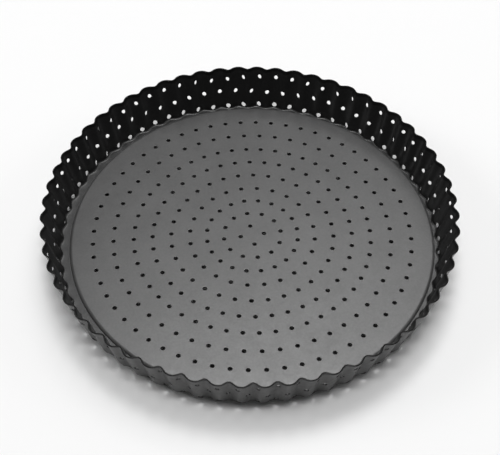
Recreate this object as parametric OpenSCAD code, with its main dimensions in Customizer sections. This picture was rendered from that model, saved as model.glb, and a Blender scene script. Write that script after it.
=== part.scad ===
// Loose-bottom tart pan: a fluted, perforated side ring with a flat ledge inside it, whose inner
// edge is turned down as a stand, and a flat perforated base whose own turned-down edge lies loose
// on that ledge, so that the base lifts out.
// Millimetres, +Z up. The origin is on the ring's axis, on the surface that the pan stands on.

/* [Ring] */
// Outside diameter of the rim, across the crests of the flutes
rim_d = 240; // [180:1:320]
// Height of the ring
ring_h = 31; // [20:0.5:45]
// Thickness of the ring's sheet, in the wall and in the ledge
sheet_t = 0.6; // [0.5:0.05:1.2]
// Outward lean of the wall from upright, in degrees
wall_lean = 13.4; // [4:0.2:22]
// How far the lip turns out from the straight wall
lip_out = 0.4; // [0:0.05:1.2]
// Height of the lip that turns out
lip_h = 4; // [2:0.5:6]
// Height of the stand, the ledge's turned-down inner edge
stand_h = 2.7; // [1:0.1:4]

/* [Flutes] */
// Number of flutes round the wall
flute_n = 60; // [36:4:80]
// Depth of a flute at the rim, from crest to valley
rim_flute = 2.7; // [0.8:0.1:3.5]
// Depth of a flute at the foot
foot_flute = 1.6; // [0.4:0.1:2.6]
// Breadth given to the crests at the rim, at the cost of the valleys
crest_share = 0.16; // [0:0.02:0.24]

/* [Wall holes] */
// Diameter of a hole in the wall
wall_hole_d = 2.5; // [1.5:0.1:3.5]
// Number of holes in each row round the wall
row_holes = 70; // [40:1:90]
// Height from one row of holes to the next
row_pitch = 9.75; // [6:0.25:14]
// Plain strip between the ledge and the lowest holes
foot_land = 0.75; // [0.1:0.05:3]
// Least plain strip between the highest holes and the rim
rim_land = 4.5; // [4:0.25:8]

/* [Loose base] */
// Thickness of the base's sheet
base_t = 0.8; // [0.6:0.1:1.2]
// Height of the base, which is also the outer radius of its turned-down edge
edge_h = 1.6; // [1.4:0.1:2.4]
// Gap all round between a centred base and the valleys of the flutes
base_play = 2.7; // [1:0.05:5]
// How far the ledge reaches in under a centred base
base_lap = 5.5; // [4:0.5:9]
// Gap left between the base and the flutes on the side to which it has slid
base_gap = 0.75; // [0.3:0.05:1]
// Direction in which the base has slid, in degrees
base_shift_dir = 28; // [0:1:359]
// Turn of the base in the ring, in degrees
base_turn = 0.8; // [0:0.1:5]

/* [Base holes] */
// Diameter of a hole in the base
base_hole_d = 2.5; // [1.5:0.1:3.5]
// Radius of the innermost ring of holes
first_ring_r = 7; // [5:0.5:10]
// Number of holes in the innermost ring
first_ring_n = 4; // [3:1:8]
// Number of holes that each next ring has more than the last
ring_gain = 8; // [4:2:10]
// Distance between the inner rings of holes
ring_step = 10; // [8:0.5:14]
// Growth of that distance after every group of rings
ring_step_growth = 1; // [0:0.25:2]

/* [Hidden] */
$fn = 180;

// Facets along one flute and round a drilled hole, and the power with which flutes deepen upward
flute_facets = 6;
hole_facets = 24;
flute_power = 1.5;

// Heights of the ledge's top, and of the facets' levels from just below the ledge up to the rim
ledge_z = stand_h + sheet_t;
lip_z = ring_h - lip_h;
wall_levels = [stand_h - sheet_t/4, (ledge_z + lip_z)/2, lip_z, ring_h];

// The wall's middle surface: half its sheet measured level, and its radius at the floor
half_sheet = sheet_t/2/cos(wall_lean);
foot_r = rim_d/2 - half_sheet - rim_flute*wave(0, ring_h) - lip_out - ring_h*tan(wall_lean);

// Holes in the wall: how far a drill must reach, its turn that keeps its seam off the crests, the
// lowest row, and how many rows fit
drill_l = 2*(rim_flute + sheet_t);
drill_turn = 52.5;
low_row_z = ledge_z + foot_land + wall_hole_d/2*cos(wall_lean);
row_room = ring_h - rim_land - wall_hole_d/2 - low_row_z;
row_n = 1 + floor(row_room/row_pitch);

// The base fits inside the flutes at the ledge, and the ledge reaches in under the base
valley_r = wall_r(ledge_z) + flute_depth(ledge_z)*wave(180, ledge_z) - half_sheet;
base_r = valley_r - base_play;
base_shift = base_play - base_gap;
ledge_r = base_r - base_lap;

// Holes in the base: every ring whose holes stay clear of the ledge. The step between rings
// grows after each third ring, and each fourth ring gains only half as many holes
drilled_r = ledge_r - base_shift - base_hole_d/2;
rings_per_growth = 3;
rings_per_pause = 4;
most_rings = 20;

// Side-to-side wave of one flute at a height, from crest (0 degrees) to valley (180), one unit deep
function wave(phase, z) = (cos(phase) - crest_share*z/ring_h*cos(2*phase))/2;

// The flutes deepen from the foot up to the rim
function flute_depth(z) = foot_flute + (rim_flute - foot_flute)*pow(z/ring_h, flute_power);

// Mean radius of the wall's middle surface: a straight lean, with the lip curling out on top
function lip_rise(z) = max(0, z - lip_z)/lip_h;
function wall_r(z) = foot_r + z*tan(wall_lean) + lip_out*pow(lip_rise(z), 2);

// One level of the wall's surface, all the way round, on the side named (-1 inner, 0 middle, 1 outer)
function wall_loop(z, side) = [
    for (i = [0 : flute_n*flute_facets - 1])
        let (phase = 360*i/flute_facets)
        let (angle = phase/flute_n)
        let (r = wall_r(z) + flute_depth(z)*wave(phase, z) + side*half_sheet)
        [r*cos(angle), r*sin(angle), z]
];

// Triangles that join one closed loop of points to the next
function band(from, to, count) = [
    for (i = [0 : count - 1])
        let (j = (i + 1) % count)
        each [[from + i, to + j, from + j], [from + i, to + i, to + j]]
];

// Radius of ring k of the base's holes, counted from 0 at the innermost
function base_ring_r(k) =
    k == 0 ? first_ring_r
           : base_ring_r(k - 1) + ring_step + ring_step_growth*floor((k - 1)/rings_per_growth);

// Number of holes in ring k
function base_ring_n(k) = first_ring_n + ring_gain*k - ring_gain/2*floor((k + 1)/rings_per_pause);

// Fluted wall, from just below the ledge up to the rim
module fluted_wall() {
    count = flute_n*flute_facets;
    top = len(wall_levels) - 1;
    loops = concat(
        [for (z = wall_levels) wall_loop(z, 1)],
        [for (i = [top : -1 : 0]) wall_loop(wall_levels[i], -1)]
    );
    loop_n = len(loops);
    polyhedron(
        points = [for (loop = loops) each loop],
        faces = [for (k = [0 : loop_n - 1]) each band(k*count, ((k + 1) % loop_n)*count, count)]
    );
}

// Flat ledge, whose outer edge follows the flutes inside the wall's sheet, and its stand
module ledge_and_stand() {
    translate([0, 0, stand_h])
        linear_extrude(height = sheet_t)
            difference() {
                polygon([for (p = wall_loop(ledge_z, 0)) [p.x, p.y]]);
                circle(r = base_r);
            }
    rotate_extrude()
        polygon([
            [ledge_r, 0],
            [ledge_r + sheet_t, 0],
            [ledge_r + sheet_t, stand_h],
            [base_r, stand_h],
            [base_r, ledge_z],
            [ledge_r, ledge_z]
        ]);
}

// Rows of holes through the wall, square to it; every second row is turned by half a step
module wall_holes() {
    for (row = [0 : row_n - 1]) {
        z = low_row_z + row*row_pitch;
        for (i = [0 : row_holes - 1]) {
            angle = 360*(i + (row % 2)/2)/row_holes;
            rotate([0, 0, angle])
                translate([wall_r(z), 0, z])
                    rotate([0, 90 + wall_lean, 0])
                        rotate([0, 0, drill_turn])
                            cylinder(h = drill_l, d = wall_hole_d, center = true, $fn = hole_facets);
        }
    }
}

// Rings of holes through the base, with one hole of every ring on a common line
module base_holes() {
    for (k = [0 : most_rings]) {
        r = base_ring_r(k);
        n = base_ring_n(k);
        if (r <= drilled_r)
            for (i = [0 : n - 1])
                rotate([0, 0, 360*i/n])
                    translate([r, 0, 0])
                        cylinder(h = 2*edge_h, d = base_hole_d, $fn = hole_facets);
    }
}

module fluted_ring() {
    color([0.13, 0.13, 0.14])
        difference() {
            union() {
                ledge_and_stand();
                fluted_wall();
            }
            wall_holes();
        }
}

// Flat disc whose edge is turned down in a quarter round and stands on the ledge
module base_blank() {
    flat_r = base_r - edge_h;
    translate([0, 0, edge_h - base_t])
        cylinder(h = base_t, r = flat_r);
    rotate_extrude()
        translate([flat_r, 0])
            intersection() {
                difference() {
                    circle(r = edge_h);
                    circle(r = edge_h - base_t);
                }
                square(edge_h);
            }
}

module loose_base() {
    shift = base_shift*[cos(base_shift_dir), sin(base_shift_dir)];
    color([0.40, 0.40, 0.41])
        translate([shift.x, shift.y, ledge_z])
            rotate([0, 0, base_turn])
                difference() {
                    base_blank();
                    base_holes();
                }
}

fluted_ring();
loose_base();
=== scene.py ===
import math

import bmesh
import bpy
import numpy as np
from mathutils import Matrix, Vector, geometry


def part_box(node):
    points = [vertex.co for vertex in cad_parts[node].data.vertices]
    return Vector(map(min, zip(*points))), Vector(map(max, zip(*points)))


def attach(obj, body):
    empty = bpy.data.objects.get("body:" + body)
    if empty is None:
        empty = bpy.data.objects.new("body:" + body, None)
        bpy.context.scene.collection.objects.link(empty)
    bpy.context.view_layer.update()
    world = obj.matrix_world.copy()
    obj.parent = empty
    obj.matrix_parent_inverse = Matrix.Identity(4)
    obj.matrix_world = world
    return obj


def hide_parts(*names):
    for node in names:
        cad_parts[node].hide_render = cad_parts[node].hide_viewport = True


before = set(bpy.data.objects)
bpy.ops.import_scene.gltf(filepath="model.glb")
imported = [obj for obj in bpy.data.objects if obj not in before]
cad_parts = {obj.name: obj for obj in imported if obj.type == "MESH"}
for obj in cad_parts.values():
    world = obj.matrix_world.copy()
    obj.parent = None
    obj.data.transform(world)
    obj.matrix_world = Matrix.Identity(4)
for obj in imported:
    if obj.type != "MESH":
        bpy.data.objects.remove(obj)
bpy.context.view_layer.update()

MM = 0.001
TAU = 2 * math.pi
RIGHT_ANGLE = math.pi / 2

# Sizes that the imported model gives: the ring, the ledge's height, and the base where it lies
RING_LOW, RING_HIGH = (Vector(corner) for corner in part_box("fluted_ring"))
BASE_LOW, BASE_HIGH = (Vector(corner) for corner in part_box("loose_base"))
RIM_R = (RING_HIGH.x - RING_LOW.x) / 2
RING_H = RING_HIGH.z
LEDGE_Z = BASE_LOW.z
BASE_R = (BASE_HIGH.x - BASE_LOW.x) / 2
BASE_H = BASE_HIGH.z - BASE_LOW.z
BASE_MID = (BASE_LOW + BASE_HIGH) / 2

# The ring's sheet: its thickness, the wall's lean from upright, the bend from the wall into the
# ledge and the one down into the stand, and how far the lip turns out over its height
SHEET_T = 0.75 * MM
SHEET_HALF = SHEET_T / 2
LEAN = math.radians(13.4)
BEND_R = 1.8 * MM
STAND_BEND_R = 0.9 * MM
LIP_OUT = 0.4 * MM
LIP_H = 4.0 * MM

# How far the ledge reaches in under a centred base
BASE_LAP = 5.5 * MM

# Every cut edge: its rounding, the plain border beside it, and the turns at which it has points
EDGE_R = 0.12 * MM
EDGE_BORDER = 2 * EDGE_R
EDGE_TURNS = (0, math.pi / 4, RIGHT_ANGLE)

# Flutes: how many, their depth at the rim and at the foot, the power with which they deepen
# upward, how broad the crests are at the rim, how far they dip there, and the dip's own power
FLUTES = 60
RIM_FLUTE = 2.7 * MM
FOOT_FLUTE = 1.6 * MM
FLUTE_POWER = 1.5
CREST_SHARE = 0.16
CREST_DIP = 0.35 * MM
DIP_POWER = 4

# The base's sheet, and how far in its turned-down edge starts
BASE_T = 0.8 * MM
BASE_EDGE = 1.9 * MM

# Holes in the wall, and how pressing has changed their width and height in each row, lowest first
ROW_HOLES = 70
ROWS = 3
ROW_PITCH = 9.75 * MM
LOW_ROW_Z = LEDGE_Z + 1.965 * MM
HOLE_R = 1.25 * MM
ROW_WIDE = (1.15, 1.0, 0.91)
ROW_TALL = (1.25, 1.15, 1.13)

# Holes in the base: rings from the centre out. The step between rings grows after every third
# ring, and every fourth ring gains only half as many holes
BASE_RINGS = 9
FIRST_RING_R = 7.0 * MM
RING_STEP = 10.0 * MM
RING_STEP_GROWTH = 1.0 * MM
RINGS_PER_GROWTH = 3
FIRST_RING_N = 4
RING_GAIN = 8
RINGS_PER_PAUSE = 4
BASE_TURN = math.radians(0.8)

# A wall hole lies in a cell of its own: points along one side of the cell, the angle of its first
# corner, and how far from the hole towards the cell's border each loop lies
CELL_SIDE = 8
CELL_CORNER = math.radians(-135)
CELL_SHARES = (1, 0.55, 0.2)

# Points round a base hole and round the base's edge
BASE_HOLE_POINTS = 28
BASE_EDGE_POINTS = 360

# Loops of points over the lip, the bend into the ledge, the bend into the stand, and the base's
# edge above and below
LIP_LOOPS = 6
BEND_LOOPS = 7
STAND_BEND_LOOPS = 5
EDGE_TOP_LOOPS = 12
EDGE_UNDER_LOOPS = 7

# Small steps that measure the sheet's slope, and the distances below which points count as one
SLOPE_TURN = 1e-4
SLOPE_STEP = 1e-5
WELD_DISTANCE = 1e-7
FILL_DISTANCE = 1e-9

# The coating's noises: the range in which nearly all of a noise lies, and for each one its size,
# its detail, and how far it moves its value
NOISE_LOW, NOISE_HIGH = 0.3, 0.7
SHADE_SIZE, SHADE_DETAIL, SHADE_SWING = 22 * MM, 4, 0.15
ROUGH_SIZE, ROUGH_DETAIL, ROUGH_SWING = 3 * MM, 6, 0.035
GLOSS_SIZE, GLOSS_DETAIL, GLOSS_LOW, GLOSS_HIGH = 1.3 * MM, 2, 0.45, 0.55
GRAIN_SIZE, GRAIN_DETAIL, GRAIN_STRENGTH, GRAIN_DEPTH = 0.5 * MM, 2, 0.2, 0.02 * MM

# Painted shade on the rim's lip by lowered gloss: the height over which the gloss fades, and the
# share left
RIM_SHADE_FADE = 1.1 * MM
RIM_SHADE_GLOSS = 0.3

# The two coatings
# The ring's look also gives the height above which its rim gets painted shade
RING_LOOK = {"shade": 0.007, "roughness": 0.36, "ior": 1.59, "rim_shade_z": RING_H - 2.4 * MM}
BASE_LOOK = {"shade": 0.050, "roughness": 0.38, "ior": 1.67}

# Camera at the photograph's viewing angle
CAMERA_AIM = Vector((1.30, 6.74, 4.9)) * MM
CAMERA_AZIMUTH = -10.28
CAMERA_ELEVATION = 50.36
CAMERA_DISTANCE = 659.2 * MM
CAMERA_ROLL = math.radians(0.64)
CAMERA_LENS = 79.69
CAMERA_SENSOR = 36

# Pale floor: half its side, and a hair of air that keeps it off the pan's stand
FLOOR_HALF = 30.0
FLOOR_GAP = 0.02 * MM
FLOOR_SHADE = 0.9
FLOOR_ROUGHNESS = 0.9
FLOOR_GLOSS = 0.1

# Light: the world's strength, and the lamps, all at one distance, with their azimuth and elevation
# in degrees, width and height in metres, and radiance
WORLD_STRENGTH = 0.10
LAMP_DISTANCE = 3.0
BACK = CAMERA_AZIMUTH + 180
LAMPS = {
    "front_light": (CAMERA_AZIMUTH, 79, (1.3, 0.3), 23),
    "overhead_light": (BACK - 40, 87, (1.9, 1.9), 1.4),
    "back_right_light": (BACK - 22, 62, (1.4, 1.5), 2.9),
    "back_light": (BACK + 5, 70, (0.8, 0.9), 9.6),
    "left_light": (BACK + 85, 33, (1.4, 1.1), 3.3),
    "right_light": (BACK - 80, 32, (1.6, 1.0), 1.5),
}


def wave(theta, z):
    """Side-to-side wave of the flutes at a height, one unit from crest to valley."""
    phase = FLUTES * theta
    return (np.cos(phase) - CREST_SHARE * z / RING_H * np.cos(2 * phase)) / 2


def flute_depth(z):
    """Depth of the flutes from crest to valley, which grows towards the rim."""
    return FOOT_FLUTE + (RIM_FLUTE - FOOT_FLUTE) * np.maximum(z / RING_H, 0) ** FLUTE_POWER


# The ring's profile, measured along the sheet's middle from the start of the level ledge: outward a
# round bend and the leaning wall beyond it, and inward a bend down into the stand
TURN = RIGHT_ANGLE - LEAN
LEVEL_HALF = SHEET_HALF / math.cos(LEAN)
WALL_FOOT_R = RIM_R - LEVEL_HALF - RIM_FLUTE * wave(0, RING_H) - LIP_OUT - RING_H * math.tan(LEAN)
LEDGE_R = BASE_R - BASE_LAP + SHEET_HALF + STAND_BEND_R
LEDGE_MID_Z = LEDGE_Z - SHEET_HALF
LEDGE_L = WALL_FOOT_R + LEDGE_MID_Z * math.tan(LEAN) - BEND_R * math.tan(TURN / 2) - LEDGE_R
BEND_L = BEND_R * TURN
BEND_TOP = LEDGE_MID_Z + BEND_R * (1 - math.cos(TURN))
WALL_S = LEDGE_L + BEND_L
RIM_S = WALL_S + (RING_H - BEND_TOP) / math.cos(LEAN)
STAND_BEND_S = -STAND_BEND_R * RIGHT_ANGLE
STAND_S = STAND_BEND_S - (LEDGE_MID_Z - STAND_BEND_R)


def wall_s(z):
    """Distance along the profile of a point on the wall at height z."""
    return WALL_S + (z - BEND_TOP) / math.cos(LEAN)


def profile(s):
    """Radius and height of the sheet's middle surface, without flutes."""
    turned = np.clip((s - LEDGE_L) / BEND_R, 0, TURN)
    up = np.maximum(s - WALL_S, 0)
    tucked = np.clip(-s / STAND_BEND_R, 0, RIGHT_ANGLE)
    down = np.maximum(STAND_BEND_S - s, 0)
    r = LEDGE_R + np.clip(s, 0, LEDGE_L) + BEND_R * np.sin(turned) + up * math.sin(LEAN)
    r = r - STAND_BEND_R * np.sin(tucked)
    z = LEDGE_MID_Z + BEND_R * (1 - np.cos(turned)) + up * math.cos(LEAN)
    z = z - STAND_BEND_R * (1 - np.cos(tucked)) - down
    lip = np.maximum(z - RING_H + LIP_H, 0) / LIP_H
    return r + LIP_OUT * lip**2, z


def middle(theta, s):
    """The sheet's middle surface with its flutes, which fade out across the ledge."""
    r, z = profile(s)
    r = r + flute_depth(z) * np.clip(s / LEDGE_L, 0, 1) * wave(theta, z)
    z = z - CREST_DIP * (z / RING_H) ** DIP_POWER * wave(theta, z)
    return np.stack([r * np.cos(theta), r * np.sin(theta), z], axis=-1)


def across(theta, s):
    """Step round the ring on the middle surface, over two small turns."""
    return middle(theta + SLOPE_TURN, s) - middle(theta - SLOPE_TURN, s)


def on_sheet(theta, s, off):
    """Places points given by angle, distance along the profile and height off the middle."""
    along = middle(theta, s + SLOPE_STEP) - middle(theta, s - SLOPE_STEP)
    normal = np.cross(across(theta, s), along)
    normal /= np.linalg.norm(normal, axis=1, keepdims=True)
    return middle(theta, s) + off * normal


def edge_round(half):
    """Steps round a cut edge of a sheet: (distance back from the cut, height off the middle)."""
    arc = [
        (EDGE_R * (1 - math.sin(a)), half - EDGE_R * (1 - math.cos(a)))
        for a in EDGE_TURNS
    ]
    return arc + [(back, -off) for back, off in reversed(arc)]


class Loops:
    """Collects closed loops of points, with a band of faces between each loop and the next."""

    def __init__(self):
        self.points = []
        self.faces = []

    def add(self, loops):
        """Adds loops of equal length, and returns the index of each point as rows."""
        count = len(loops[0])
        start = sum(len(p) for p in self.points)
        self.points += [np.asarray(loop, float) for loop in loops]
        index = start + np.arange(len(loops) * count).reshape(len(loops), count)
        ahead = np.roll(index, -1, axis=1)
        quads = np.stack([index[:-1], ahead[:-1], ahead[1:], index[1:]], axis=-1)
        self.faces += quads.reshape(-1, 4).tolist()
        return index


def make_object(name, points, faces):
    """A smooth mesh object with doubled points welded and its faces turned outward."""
    mesh = bpy.data.meshes.new(name)
    mesh.from_pydata(points.tolist(), [], faces)
    bm = bmesh.new()
    bm.from_mesh(mesh)
    bmesh.ops.remove_doubles(bm, verts=bm.verts, dist=WELD_DISTANCE)
    bmesh.ops.recalc_face_normals(bm, faces=bm.faces)
    bm.to_mesh(mesh)
    bm.free()
    mesh.shade_smooth()
    obj = bpy.data.objects.new(name, mesh)
    bpy.context.collection.objects.link(obj)
    return obj


def cell_border():
    """Points round a square of half side 1, from its lower left corner."""
    share = np.linspace(-1, 1, CELL_SIDE, endpoint=False)
    one = np.ones(CELL_SIDE)
    u = np.concatenate([share, one, -share, -one])
    v = np.concatenate([-one, share, one, -share])
    return u, v


def hole_cell(theta, s, low_s, high_s, wide, tall):
    """Loops of one wall hole: in from its cell's border outside, through, and out again inside."""
    u, v = cell_border()
    border_x = u * math.pi / ROW_HOLES
    border_y = np.where(v > 0, v * (high_s - s), v * (s - low_s))
    angles = CELL_CORNER + TAU * np.arange(len(u)) / len(u)
    per_radian = np.linalg.norm(across(theta, s)) / (2 * SLOPE_TURN)

    def loop(back, share, off):
        """The hole's outline, moved back from the cut and part of the way to the border."""
        x = (wide * HOLE_R + back) * np.cos(angles) / per_radian
        y = (tall * HOLE_R + back) * np.sin(angles)
        loop_theta = theta + x * (1 - share) + border_x * share
        loop_s = s + y * (1 - share) + border_y * share
        return on_sheet(loop_theta, loop_s, off)

    outside = [loop(EDGE_R, share, SHEET_HALF) for share in CELL_SHARES]
    rim = [loop(back, 0, off) for back, off in edge_round(SHEET_HALF)]
    inside = [loop(EDGE_R, share, -SHEET_HALF) for share in reversed(CELL_SHARES)]
    return outside + rim + inside


def ring_mesh():
    """The fluted side ring: perforated wall, rounded lip edge, bend, ledge and stand."""
    loops = Loops()
    row_s = [wall_s(LOW_ROW_Z + row * ROW_PITCH) for row in range(ROWS)]
    low_s = row_s[0] - ROW_TALL[0] * HOLE_R - EDGE_BORDER
    high_s = row_s[-1] + (row_s[-1] - row_s[-2]) / 2
    border_s = [low_s] + [(a + b) / 2 for a, b in zip(row_s, row_s[1:])] + [high_s]
    step = TAU / ROW_HOLES
    for row, s in enumerate(row_s):
        low, high = border_s[row], border_s[row + 1]
        for i in range(ROW_HOLES):
            theta = step * (i + row % 2 / 2)
            loops.add(hole_cell(theta, s, low, high, ROW_WIDE[row], ROW_TALL[row]))

    columns = step * (np.arange(ROW_HOLES * CELL_SIDE) / CELL_SIDE)

    def ring(s, off):
        """One loop all the way round."""
        return on_sheet(columns, np.full(len(columns), s), off)

    def strip(path, end):
        """Sheet from the holes to a cut end: out along one side and back along the other."""
        outside = [ring(s, SHEET_HALF) for s in path]
        loops.add(outside + end + [ring(s, -SHEET_HALF) for s in path[::-1]])

    lip = np.linspace(high_s, RIM_S - EDGE_R, LIP_LOOPS)[:-1]
    strip(lip, [ring(RIM_S - back, off) for back, off in edge_round(SHEET_HALF)])

    bend = np.linspace(low_s, LEDGE_L, BEND_LOOPS)
    stand_bend = np.linspace(0, STAND_BEND_S, STAND_BEND_LOOPS)
    down = np.concatenate([bend, [LEDGE_L / 2], stand_bend])
    strip(down, [ring(STAND_S + back, off) for back, off in edge_round(SHEET_HALF)])
    return make_object("side_ring", np.concatenate(loops.points), loops.faces)


def base_rings():
    """Radius and number of holes of each ring in the base."""
    r = FIRST_RING_R
    for k in range(BASE_RINGS):
        if k > 0:
            r += RING_STEP + RING_STEP_GROWTH * ((k - 1) // RINGS_PER_GROWTH)
        yield r, FIRST_RING_N + RING_GAIN * k - RING_GAIN // 2 * ((k + 1) // RINGS_PER_PAUSE)


def flat_fill(points, borders):
    """Triangles that fill the first border and leave the others, inside it, open."""
    index = np.concatenate(borders)
    owner = np.concatenate([np.full(len(border), k) for k, border in enumerate(borders)])
    edges = []
    start = 0
    for border in borders:
        edges += [(start + i, start + (i + 1) % len(border)) for i in range(len(border))]
        start += len(border)
    flat = [Vector(point[:2]) for point in points[index]]
    triangles = geometry.delaunay_2d_cdt(flat, edges, [], 0, FILL_DISTANCE)[2]

    def kept(triangle):
        return owner[triangle[0]] == 0 or len(set(owner[list(triangle)])) > 1

    return [index[list(t)].tolist() for t in triangles if kept(t)]


def base_mesh():
    """The base: a flat sheet with rounded hole edges, and its own edge turned down."""
    loops = Loops()
    half = BASE_T / 2
    sheet_z = BASE_H - half
    flat_r = BASE_R - BASE_EDGE
    borders = []

    def cut(x, y, count, rows):
        """Loops round a centre, by radius and height, from the sheet's top to its underside."""
        angles = TAU * np.arange(count) / count
        level = [
            np.stack([x + r * np.cos(angles), y + r * np.sin(angles), 0 * angles + z], axis=-1)
            for r, z in rows
        ]
        index = loops.add(level)
        borders.append((index[0], index[-1]))

    def quarter(height, count):
        """The bend down from a height, as radius and height of each loop."""
        turns = np.linspace(RIGHT_ANGLE, math.asin(EDGE_BORDER / height), count)
        run = BASE_EDGE - BASE_H + height
        return [(flat_r + run * math.cos(a), height * math.sin(a)) for a in turns]

    over = quarter(BASE_H, EDGE_TOP_LOOPS)
    end = [(BASE_R - half + off, back) for back, off in edge_round(half)]
    under = quarter(BASE_H - BASE_T, EDGE_UNDER_LOOPS)
    cut(0, 0, BASE_EDGE_POINTS, over + end + under[::-1])

    steps = [(EDGE_BORDER, half)] + edge_round(half) + [(EDGE_BORDER, -half)]
    hole = [(HOLE_R + back, sheet_z + off) for back, off in steps]
    for r, n in base_rings():
        for a in BASE_TURN + TAU * np.arange(n) / n:
            cut(r * math.cos(a), r * math.sin(a), BASE_HOLE_POINTS, hole)

    points = np.concatenate(loops.points)
    for side in (0, 1):
        loops.faces += flat_fill(points, [border[side] for border in borders])
    points += np.array((BASE_MID.x, BASE_MID.y, LEDGE_Z))
    return make_object("base_disc", points, loops.faces)


def coating(name, shade, roughness, ior, rim_shade_z=None):
    """Baked-on non-stick coating: dark, satin, with a sprayed grain, and painted shade by lower
    gloss above a height.
    """
    material = bpy.data.materials.new(name)
    material.use_nodes = True
    nodes, links = material.node_tree.nodes, material.node_tree.links
    shader = nodes["Principled BSDF"]
    shader.inputs["IOR"].default_value = ior
    place = nodes.new("ShaderNodeTexCoord").outputs["Object"]

    def noise(size, detail):
        node = nodes.new("ShaderNodeTexNoise")
        node.inputs["Scale"].default_value = 1 / size
        node.inputs["Detail"].default_value = detail
        links.new(place, node.inputs["Vector"])
        return node.outputs["Fac"]

    def mapped(value, from_low, from_high, low, high):
        node = nodes.new("ShaderNodeMapRange")
        node.inputs["From Min"].default_value = from_low
        node.inputs["From Max"].default_value = from_high
        node.inputs["To Min"].default_value = low
        node.inputs["To Max"].default_value = high
        links.new(value, node.inputs["Value"])
        return node.outputs["Result"]

    def varied(size, detail, low, high):
        return mapped(noise(size, detail), NOISE_LOW, NOISE_HIGH, low, high)

    tint = nodes.new("ShaderNodeCombineColor")
    dark, light = shade * (1 - SHADE_SWING), shade * (1 + SHADE_SWING)
    level = varied(SHADE_SIZE, SHADE_DETAIL, dark, light)
    for channel in ("Red", "Green", "Blue"):
        links.new(level, tint.inputs[channel])
    links.new(tint.outputs["Color"], shader.inputs["Base Color"])

    smooth, rough = roughness - ROUGH_SWING, roughness + ROUGH_SWING
    links.new(varied(ROUGH_SIZE, ROUGH_DETAIL, smooth, rough), shader.inputs["Roughness"])

    gloss = varied(GLOSS_SIZE, GLOSS_DETAIL, GLOSS_LOW, GLOSS_HIGH)
    # Painted shade along the rim: above this height the gloss drops, so the lip looks darker as if
    # in shade
    if rim_shade_z is not None:
        height = nodes.new("ShaderNodeSeparateXYZ")
        links.new(place, height.inputs["Vector"])
        share = mapped(height.outputs["Z"], rim_shade_z, rim_shade_z + RIM_SHADE_FADE, 1, RIM_SHADE_GLOSS)
        rim_shaded_gloss = nodes.new("ShaderNodeMath")
        rim_shaded_gloss.operation = "MULTIPLY"
        links.new(gloss, rim_shaded_gloss.inputs[0])
        links.new(share, rim_shaded_gloss.inputs[1])
        gloss = rim_shaded_gloss.outputs["Value"]
    links.new(gloss, shader.inputs["Specular IOR Level"])

    grain = nodes.new("ShaderNodeBump")
    grain.inputs["Strength"].default_value = GRAIN_STRENGTH
    grain.inputs["Distance"].default_value = GRAIN_DEPTH
    links.new(noise(GRAIN_SIZE, GRAIN_DETAIL), grain.inputs["Height"])
    links.new(grain.outputs["Normal"], shader.inputs["Normal"])
    return material


def add_piece(obj, body, node, slot, look):
    """Coats a piece with a material named after its slot, hangs it on its body's empty, and hides
    the CAD node it stands for.
    """
    obj.data.materials.append(coating(slot, **look))
    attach(obj, body)
    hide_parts(node)


def aimed(location, target, roll=0.0):
    """Matrix that places a lamp or camera and turns it to look at a point."""
    back = (location - target).normalized()
    right = Vector((0, 0, 1)).cross(back).normalized()
    turn = Matrix((right, back.cross(right), back)).transposed()
    return Matrix.Translation(location) @ turn.to_4x4() @ Matrix.Rotation(roll, 4, "Z")


def around(target, azimuth, elevation, distance):
    """Point seen from the target at that azimuth (0 on the -Y side) and elevation, in degrees."""
    a, e = math.radians(azimuth), math.radians(elevation)
    level = math.cos(e)
    return target + distance * Vector((math.sin(a) * level, -math.cos(a) * level, math.sin(e)))


def add_camera():
    """The camera, placed as the photograph's was."""
    data = bpy.data.cameras.new("camera")
    data.lens = CAMERA_LENS
    data.sensor_width = CAMERA_SENSOR
    camera = bpy.data.objects.new("camera", data)
    place = around(CAMERA_AIM, CAMERA_AZIMUTH, CAMERA_ELEVATION, CAMERA_DISTANCE)
    camera.matrix_world = aimed(place, CAMERA_AIM, CAMERA_ROLL)
    bpy.context.collection.objects.link(camera)
    bpy.context.scene.camera = camera


def add_floor():
    """A plain pale floor under the pan."""
    mesh = bpy.data.meshes.new("floor")
    corners = [(FLOOR_HALF * x, FLOOR_HALF * y, 0) for x, y in ((-1, -1), (1, -1), (1, 1), (-1, 1))]
    mesh.from_pydata(corners, [], [(0, 1, 2, 3)])
    floor = bpy.data.objects.new("floor", mesh)
    floor.location.z = -FLOOR_GAP
    bpy.context.collection.objects.link(floor)
    material = bpy.data.materials.new("floor")
    material.use_nodes = True
    shader = material.node_tree.nodes["Principled BSDF"]
    shader.inputs["Base Color"].default_value = (FLOOR_SHADE, FLOOR_SHADE, FLOOR_SHADE, 1)
    shader.inputs["Roughness"].default_value = FLOOR_ROUGHNESS
    shader.inputs["Specular IOR Level"].default_value = FLOOR_GLOSS
    mesh.materials.append(material)


def add_world():
    """Faint even light from all sides."""
    world = bpy.data.worlds.new("world")
    world.use_nodes = True
    back = world.node_tree.nodes["Background"]
    back.inputs["Color"].default_value = (1, 1, 1, 1)
    back.inputs["Strength"].default_value = WORLD_STRENGTH
    bpy.context.scene.world = world


def add_softbox(name, azimuth, elevation, size, radiance):
    """A rectangular soft lamp that faces the pan."""
    data = bpy.data.lights.new(name, "AREA")
    data.shape = "RECTANGLE"
    data.size, data.size_y = size
    data.energy = radiance * math.pi * size[0] * size[1]
    lamp = bpy.data.objects.new(name, data)
    target = Vector((0, 0, RING_H / 2))
    lamp.matrix_world = aimed(around(target, azimuth, elevation, LAMP_DISTANCE), target)
    bpy.context.collection.objects.link(lamp)


add_camera()
add_floor()
add_world()
for lamp_name, lamp_values in LAMPS.items():
    add_softbox(lamp_name, *lamp_values)

add_piece(ring_mesh(), "ring", "fluted_ring", "ring_coating", RING_LOOK)
add_piece(base_mesh(), "base", "loose_base", "base_coating", BASE_LOOK)

bpy.context.scene.view_settings.view_transform = "Standard"
